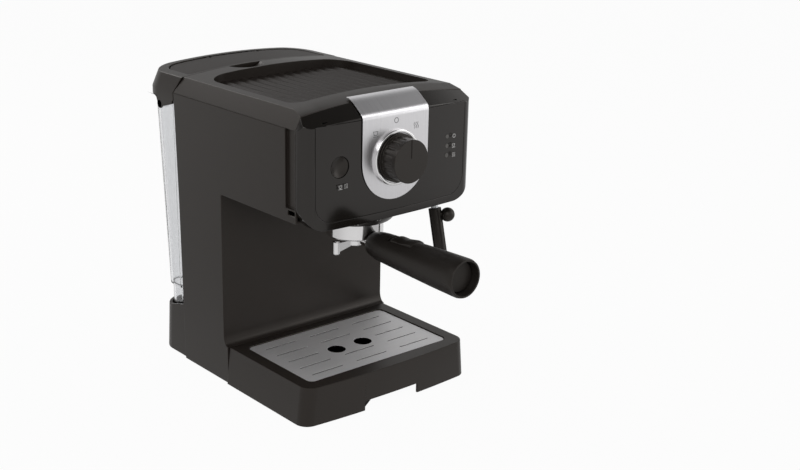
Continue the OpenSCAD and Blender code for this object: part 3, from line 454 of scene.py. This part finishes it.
def roundScoop():
    left, right, front, back, bottom, rimLow, rimHigh = notch.values()
    close = 0.05

    def inNotch(centre, normal):
        x, y, z = centre / mm
        if not (left - 0.5 < x < right + 0.5 and front + 0.1 < y < back + 0.5):
            return False
        return bottom - 0.1 < z < rimHigh and (z < bottom + 0.1 or normal.z < 0.5)

    def atMouth(point, lowest):
        x, y, z = point / mm
        return abs(y - front) < close and z > lowest and min(abs(x - left), abs(x - right)) < close

    def onTop(point):
        x, y, z = point / mm
        return front - close < y < back + close and z > rimLow and left - close < x < right + close

    cover = cleanCopy("top_cover")
    startEdit(cover)
    pickFaces(cover, inNotch)
    bpy.ops.mesh.delete(type="FACE")
    # an edge over the mouth, then the wall under it, then the top behind it
    for test in (lambda v: atMouth(v, rimLow), lambda v: atMouth(v, bottom - 0.1), onTop):
        pickPoints(cover, test)
        bpy.ops.mesh.edge_face_add()
    bpy.ops.mesh.select_all(action="SELECT")
    bpy.ops.mesh.normals_make_consistent(inside=False)
    endEdit()
    bpy.ops.object.select_all(action="DESELECT")
    centre = Vector(scoop["centre"]) * mm
    bpy.ops.mesh.primitive_uv_sphere_add(segments=96, ring_count=48, radius=scoop["radius"] * mm, location=centre)
    ball = settle(bpy.context.active_object)
    return soften(carve(cover, ball), 0.4)


place(roundScoop(), "root", slotOf["top_cover"], "top_cover")
place(softCopy("control_panel", 0.25), "root", "gloss_black", "control_panel")
place(softCopy("trim_strip", 0.15, 1, 40), "root", "brushed_steel", "trim_strip")
place(softCopy("cup_tray", 0.3, 2, 45), "root", "ribbed_black", "cup_tray")
place(softCopy("drip_grid", 0.07, 1), "grid", "grid_steel", "drip_grid")
place(softCopy("water_tank", 0.4), "tank", "clear_tank", "water_tank")
print("body shells done")

# ---- controls ----

ring = {"outer": 26.2, "inner": 23.4, "depth": 3.2, "lip": 1.1, "edge": 0.5}


def knobRing():
    outer, inner, depth, lip, edge = ring.values()
    outline = [(inner, 0), (outer, 0), (outer, depth - lip)] + arcPoints((outer - lip, depth - lip), lip, 30, 90, 3)
    outline += [(inner + edge, depth), (inner, depth - edge)]
    low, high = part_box("knob_ring")
    centre = ((low.x + high.x) / 2 / mm, high.y / mm, (low.z + high.z) / 2 / mm)
    piece = lathe("chrome_ring", outline, centre, "front", 128, True)
    return soften(piece, 0, corner=40)


place(knobRing(), "root", "chrome", "knob_ring")
place(softCopy("selector_knob", 0.35, 3), "knob", "knob_black", "selector_knob")
place(softCopy("mode_button", 0.35, 3), "button", "knob_black", "mode_button")

# printed signs on upright faces towards the front, in mm: x, z, size and kind
signs = {
    "thick": 0.12, "line": 0.55, "wisp": 0.44,
    "strip": ((0, 280, 2.3, "ring"), (-24, 271, 6, "cup"), (24, 272, 5.6, "steam")),
    "panel": ((73.2, 254.4, 1.6, "ring"), (73.2, 245.3, 4, "cup"), (73.2, 236.1, 3.8, "steam"),
              (-63.5, 228, 4.2, "cup"), (-57.5, 228, 3.8, "steam")),
}


def stroke(points, y, width):
    # a line of a sign, as one thin plate per stretch
    half = width / 2
    parts = []
    for (x0, z0), (x1, z1) in zip(points, points[1:]):
        length = hypot(x1 - x0, z1 - z0)
        ax, az = (x1 - x0) / length * half, (z1 - z0) / length * half
        outline = [(x0 - ax - az, z0 - az + ax), (x0 - ax + az, z0 - az - ax),
                   (x1 + ax + az, z1 + az - ax), (x1 + ax - az, z1 + az + ax)]
        parts.append(plate("stroke", outline, signs["thick"], (0, y, 0), "front"))
    return parts


def ringSign(x, z, radius, y):
    # off
    inner, outer = radius - signs["line"] / 2, radius + signs["line"] / 2
    outline = [(inner, 0), (outer, 0), (outer, signs["thick"]), (inner, signs["thick"])]
    return [lathe("ring", outline, (x, y, z), "front", 32, True)]


def cupSign(x, z, size, y):
    # a cup on its saucer
    a = size / 2
    rim, foot = z + a * 0.6, z - a * 0.5
    bowl = [(x - a, rim), (x - a * 0.75, foot), (x + a * 0.45, foot), (x + a * 0.7, rim), (x - a, rim)]
    saucer = [(x - a, z - a), (x + a * 0.8, z - a)]
    return stroke(bowl, y, signs["line"]) + stroke(saucer, y, signs["line"])


def steamSign(x, z, size, y):
    # three rising wisps
    a = size / 2
    wisp = [(0, -a), (a * 0.28, -a * 0.4), (-a * 0.2, a * 0.35), (a * 0.1, a)]
    parts = []
    for shift in (-0.75 * a, 0, 0.75 * a):
        parts += stroke([(x + shift + dx, z + dz) for dx, dz in wisp], y, signs["wisp"])
    return parts


def placeSigns(name, rows, node, slotName):
    # printed on the front of a CAD node, a hair above it
    draw = {"ring": ringSign, "cup": cupSign, "steam": steamSign}
    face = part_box(node)[0].y / mm + 0.02
    parts = []
    for x, z, size, kind in rows:
        parts += draw[kind](x, z, size, face)
    place(joined(name, *parts), "root", slotName)


placeSigns("strip_signs", signs["strip"], "trim_strip", "print_grey")
placeSigns("panel_signs", signs["panel"], "control_panel", "print_white")
print("controls done")

# ---- brewing group ----

# the group stands "raise" higher than its CAD nodes; outlines are (radius, z) in mm round the brewing axis
group = {
    "y": -33.8, "raise": 9,
    "collar": [(34.2, 175.2), (34.8, 175.2), (36.4, 176.4), (38.6, 179.2), (40.4, 182.4), (41.4, 186.6), (41.4, 196),
               (36.7, 196), (36.7, 177.2), (34.2, 177.2)],
    "head": [(0, 195), (34.6, 195), (34.6, 177.4), (36.6, 177.4), (36.6, 196.2), (38, 196.2), (38, 202), (43, 202),
             (43, 204), (0, 204)],
    "bowl": [(4, 155), (12, 155), (19.2, 158), (26.5, 158), (27.7, 159.2), (27.7, 186), (25.2, 186), (25.2, 160.5),
             (4, 160.5)],
    "ledge": (35.2, 29.6, 30, 177.4, 2), "lug": (33.9, 26.9, 16, 179.7, 3.5),
}


def atGroup(name, key, closed=False):
    return lathe(name, group[key], (0, group["y"], 0), "up", 128, closed)


def raised(node):
    # a CAD piece of the group, lifted with it
    piece = cleanCopy(node)
    piece.location.z = group["raise"] * mm
    return soften(settle(piece), 0.15, 1)


def sectors(key):
    # two flat pieces of a ring on opposite sides: outer and inner radius, half angle, bottom and depth
    outer, inner, half, bottom, depth = group[key]
    pieces = []
    for turn in (0, 180):
        outline = arcPoints((0, 0), outer, turn - half, turn + half, 14)
        outline += arcPoints((0, 0), inner, turn + half, turn - half, 14)
        pieces.append(plate("sector", outline, depth, (0, group["y"], bottom)))
    return pieces


place(soften(atGroup("collar_ring", "collar", True), 0.3, 2, 35), "root", "collar_black", "group_collar")
head = joined("bayonet_head", atGroup("bayonet_head", "head"), *sectors("ledge"))
place(soften(head, 0), "root", "cast_aluminium", "group_head")
for node in ("group_gasket", "shower_screen", "screen_screw"):
    place(raised(node), "root", slotOf[node], node)

# each mark is at a turn in degrees, a radius and a height in mm
marks = {"places": ((-127, 37.95, 178.5), (-95, 39.95, 181.8)), "lean": 33, "apart": 2.2, "half": (0.3, 0.45, 1.2)}


def lockMarks():
    # generic lock signs on the collar: two short bars each
    parts = []
    for turn, radius, z in marks["places"]:
        for shift in (-marks["apart"], marks["apart"]):
            angle = radians(turn + shift)
            bar = block([-side for side in marks["half"]], marks["half"], "bar")
            bar.rotation_euler = (0, radians(marks["lean"]), angle)
            bar.location = Vector((radius * cos(angle), group["y"] + radius * sin(angle), z)) * mm
            parts.append(settle(bar))
    return joined("lock_marks", *parts)


place(lockMarks(), "root", "print_white")

neck = {"z": 157, "radius": 7.5, "start": 50, "end": 78}  # the rod into the handle
hollow = {"radius": 26, "bottom": 159.5, "top": 190}  # the space in the bowl that it may not enter


def filterBowl():
    lugs = sectors("lug")
    outline = [(0, neck["start"]), (neck["radius"], neck["start"]), (neck["radius"], neck["end"]), (0, neck["end"])]
    rod = lathe("neck", outline, (0, 0, neck["z"]), "front", 48)
    radius, bottom, top = hollow.values()
    outline = [(0, bottom), (radius, bottom), (radius, top), (0, top)]
    carve(rod, lathe("inside", outline, (0, group["y"], 0), "up", 62))
    return soften(joined("chrome_bowl", atGroup("chrome_bowl", "bowl", True), rod, *lugs), 0.35, 3, 35)


place(filterBowl(), "holder", "chrome", "filter_holder")
place(raised("filter_basket"), "holder", slotOf["filter_basket"], "filter_basket")

spout = {
    "side": 22.6, "thick": 5.2,
    "tube": [(0, 150), (2, 150), (2, 140.4), (2.5, 140.4), (3.4, 141.6), (3.4, 153.2), (2.4, 154.4), (0, 154.4)],
    "hub": [(0, 146.5), (6.6, 146.5), (7.5, 147.4), (7.5, 153), (3.9, 153), (3.9, 162), (0, 162)],
    "arms": [(-22.6, 142.8), (0, 148), (22.6, 142.8), (22.6, 152.4), (-22.6, 152.4)],
}


def spoutPiece():
    tubes = [lathe("tube", spout["tube"], (x, group["y"], 0), "up", 40) for x in (-spout["side"], spout["side"])]
    hub = lathe("hub", spout["hub"], (0, group["y"], 0), "up", 64)
    arms = plate("arms", spout["arms"], spout["thick"], (0, group["y"] + spout["thick"] / 2, 0), "front")
    return soften(joined("chrome_spout", arms, hub, *tubes), 0.3, 3, 35)


place(spoutPiece(), "holder", "chrome", "twin_spout")

# outlines are (radius, distance in front of the origin) in mm round the handle's own axis
grip = {
    "z": 155,
    "body": [(0, 62.3), (10.5, 62.3), (11.1, 63), (12.4, 67), (13.5, 72.5), (14.2, 79), (14.6, 88), (16.2, 120),
             (17.6, 152), (18.4, 180), (18.4, 184.6), (17.6, 187.4), (15.9, 187.4), (14.8, 176.8), (0, 176.8)],
    "cap": [(0, 176.9), (14.5, 176.9), (14.5, 179.5), (13.9, 180), (0, 180)],
    "clip": [(12.6, 91.8), (12.6, 123.6), (16.3, 124), (17.4, 122.6), (17.8, 118.6), (16.7, 112), (15.9, 107),
             (16.2, 103), (16.3, 98.5), (14.8, 94.4), (13.6, 91.8)],
    "pocket": [(12.3, 91.4), (20, 91.4), (20, 124.4), (12.3, 124.4)],
    "clipHalf": 8.4, "clipFront": -126, "clipBack": -90, "gap": 0.3,
    "hinge": (-84, 171), "arm": {"inner": 6, "outer": 8.2, "start": 200, "end": 318, "half": 4},
    "pin": {"place": (0, -84, 164), "radius": 1.5, "half": 9},
}


def alongGrip(name, key, steps=96, closed=False):
    return lathe(name, grip[key], (0, 0, grip["z"]), "front", steps, closed)


def saddle(name, key, half):
    # the upper part of a ring round the handle
    upper = block((-half, grip["clipFront"], grip["z"] + 5), (half, grip["clipBack"], grip["z"] + 25))
    return carve(alongGrip(name, key, 96, True), upper, "INTERSECT")


def hingeArm(name, gap):
    # a curved arm round the clip's axis, which slides in its slot in the handle as the clip turns
    arm = grip["arm"]
    inner, outer, half = arm["inner"] - gap, arm["outer"] + gap, arm["half"] + gap
    start, end = arm["start"] - 4 * gap, arm["end"] + 8 * gap
    outline = arcPoints((0, 0), outer, start, end, 20) + arcPoints((0, 0), inner, end, start, 20)
    piece = plate(name, outline, 2 * half, (0, half, 0), "front")
    piece.rotation_euler = (0, 0, pi / 2)
    piece.location = Vector((0, *grip["hinge"])) * mm
    return settle(piece)


def clipPin():
    # hidden in the handle under the clip
    radius, half = grip["pin"]["radius"], grip["pin"]["half"]
    piece = lathe("hidden_pin", [(0, -half), (radius, -half), (radius, half), (0, half)], (0, 0, 0), "up", 24)
    piece.rotation_euler = (0, pi / 2, 0)
    piece.location = Vector(grip["pin"]["place"]) * mm
    return soften(settle(piece), 0)


handle = carve(alongGrip("black_handle", "body", 128), saddle("pocket", "pocket", grip["clipHalf"] + grip["gap"]))
carve(handle, hingeArm("slot", grip["gap"]))
place(soften(handle, 0.25, 3, 40), "holder", "handle_black", "handle")
place(soften(alongGrip("end_disc", "cap"), 0.2), "holder", "handle_black", "handle_cap")
clip = carve(saddle("clip_saddle", "clip", grip["clipHalf"]), hingeArm("arm", 0), "UNION")
place(soften(clip, 0.4, 2, 45), "clip", "handle_black", "filter_clip")
place(clipPin(), "holder", "zinc_steel", "clip_pin")

place(softCopy("wand_sleeve", 0.4), "wand", "handle_black", "wand_sleeve")
ball = softCopy("wand_grip", 0.2)
nearer = (-4.2, 0.6, 0)  # the ball grip stands closer to the pipe than its CAD node, mm
ball.location = Vector(nearer) * mm
place(settle(ball), "wand", "handle_black", "wand_grip")
place(softCopy("wand_tip", 0.3), "wand", "chrome", "wand_tip")
print("brewing group done")

# ---- stage, light and camera ----


# what shiny parts see: patches on the floor are place and radii in m, then their tone at the middle and outside
floorLook = {
    "size": 8, "height": -0.0002, "tone": 0.5, "seen": 0.96, "shine": 0.62,
    "patches": (((0.35, -0.33, 0), 0.12, 0.36, 0.3, 1.0),   # darker in front on the right
                ((-0.5, 0.45, 0), 0.15, 0.75, 0.55, 1.0)),  # and a little at the back on the left
}
# the room above the table as (height, brightness): a long soft box over a dim wall
room = ((0.0, 0.75), (0.16, 0.6), (0.3, 0.22), (0.365, 0.25), (0.42, 0.95), (0.58, 0.9), (0.68, 0.36), (0.8, 0.12),
        (1.0, 0.04))
diffuseRoom = 0.42


def rayKinds(look):
    # whether a ray comes from the camera, straight or through the tank, and whether it is a reflection
    path = {name: look.node("ShaderNodeLightPath", output=name) for name in
            ("Is Camera Ray", "Is Glossy Ray", "Is Transmission Ray")}
    seen = look.node("ShaderNodeMath", {"operation": "MAXIMUM"},
                     {0: path["Is Camera Ray"], 1: path["Is Transmission Ray"]})
    return seen, path["Is Glossy Ray"]


def addFloor():
    bpy.ops.object.select_all(action="DESELECT")
    bpy.ops.mesh.primitive_plane_add(size=floorLook["size"], location=(0, 0, floorLook["height"]))
    floor = bpy.context.active_object
    floor.name = "floor"
    settle(floor)
    look = Look(bpy.data.materials.new("floor_white"))
    look.feed(Base_Color=(floorLook["tone"],) * 3, Roughness=0.9)
    seen, glossy = rayKinds(look)
    shine = floorLook["shine"] * glossy
    for middle, inner, outer, dark, pale in floorLook["patches"]:
        distance = look.node("ShaderNodeVectorMath", {"operation": "DISTANCE"}, {0: look.where(), 1: middle}, 1)
        shine = shine * look.node("ShaderNodeMapRange", {"interpolation_type": "SMOOTHSTEP"},
                                  {0: distance, 1: inner, 2: outer, 3: dark, 4: pale})
    share = floorLook["seen"] * seen + shine
    glow = look.node("ShaderNodeEmission", None, {"Color": (1, 1, 1, 1), "Strength": 1.0})
    mixed = look.node("ShaderNodeMixShader", None, {0: share, 1: Wire(look, look.shader.outputs[0]), 2: glow})
    output = look.tree.nodes["Material Output"]
    look.tree.links.new(mixed.socket, output.inputs["Surface"])
    floor.data.materials.append(look.owner)


def lightWorld():
    world = bpy.data.worlds.new("studio")
    bpy.context.scene.world = world
    look = Look(world)
    seen, glossy = rayKinds(look)
    direction = look.node("ShaderNodeTexCoord", output="Generated")
    height = look.node("ShaderNodeSeparateXYZ", None, {0: direction}, 2)
    stops = [(level, (tone, tone, tone, 1)) for level, tone in room]
    dusk = look.node("ShaderNodeValToRGB", {"stops": stops}, {0: height})
    strength = seen + (1 - seen) * (glossy * dusk + (1 - glossy) * diffuseRoom)
    background = look.tree.nodes["Background"]
    background.inputs["Color"].default_value = (1, 1, 1, 1)
    look.tree.links.new(strength.socket, background.inputs["Strength"])


def addLamp(name, spot, target, size, power):
    bpy.ops.object.select_all(action="DESELECT")
    bpy.ops.object.light_add(type="AREA", location=spot)
    lamp = bpy.context.active_object
    lamp.name = name
    lamp.rotation_euler = (Vector(target) - Vector(spot)).to_track_quat("-Z", "Y").to_euler()
    lamp.data.shape = "RECTANGLE"
    lamp.data.size, lamp.data.size_y = size
    lamp.data.energy = power


lamps = (  # name, place, target, size in m and power in W
    ("key_lamp", (-1.1, -0.9, 1.3), (0, 0, 0.15), (1.0, 1.0), 8),
    ("fill_lamp", (1.3, -0.9, 0.7), (0, 0, 0.15), (0.9, 1.2), 5),
    ("back_lamp", (-0.3, 1.3, 1.1), (0, 0, 0.2), (1.2, 0.8), 6),
)
view = {"azimuth": -37.53, "elevation": 18.29, "distance": 1.2906, "target": (-0.0187, 0.0125, 0.1473),
        "lens": 58.89, "sensor": 36, "shift": 0.1125}


def addCamera():
    turn, rise = radians(view["azimuth"]), radians(view["elevation"])
    back = Vector((sin(turn) * cos(rise), -cos(turn) * cos(rise), sin(rise)))
    bpy.ops.object.select_all(action="DESELECT")
    bpy.ops.object.camera_add(location=Vector(view["target"]) + back * view["distance"])
    camera = bpy.context.active_object
    camera.rotation_euler = back.to_track_quat("Z", "Y").to_euler()
    camera.data.lens = view["lens"]
    camera.data.sensor_width = view["sensor"]
    camera.data.shift_x = view["shift"]
    bpy.context.scene.camera = camera


addFloor()
lightWorld()
for row in lamps:
    addLamp(*row)
addCamera()
bpy.context.scene.view_settings.view_transform = "Standard"
print("stage done")
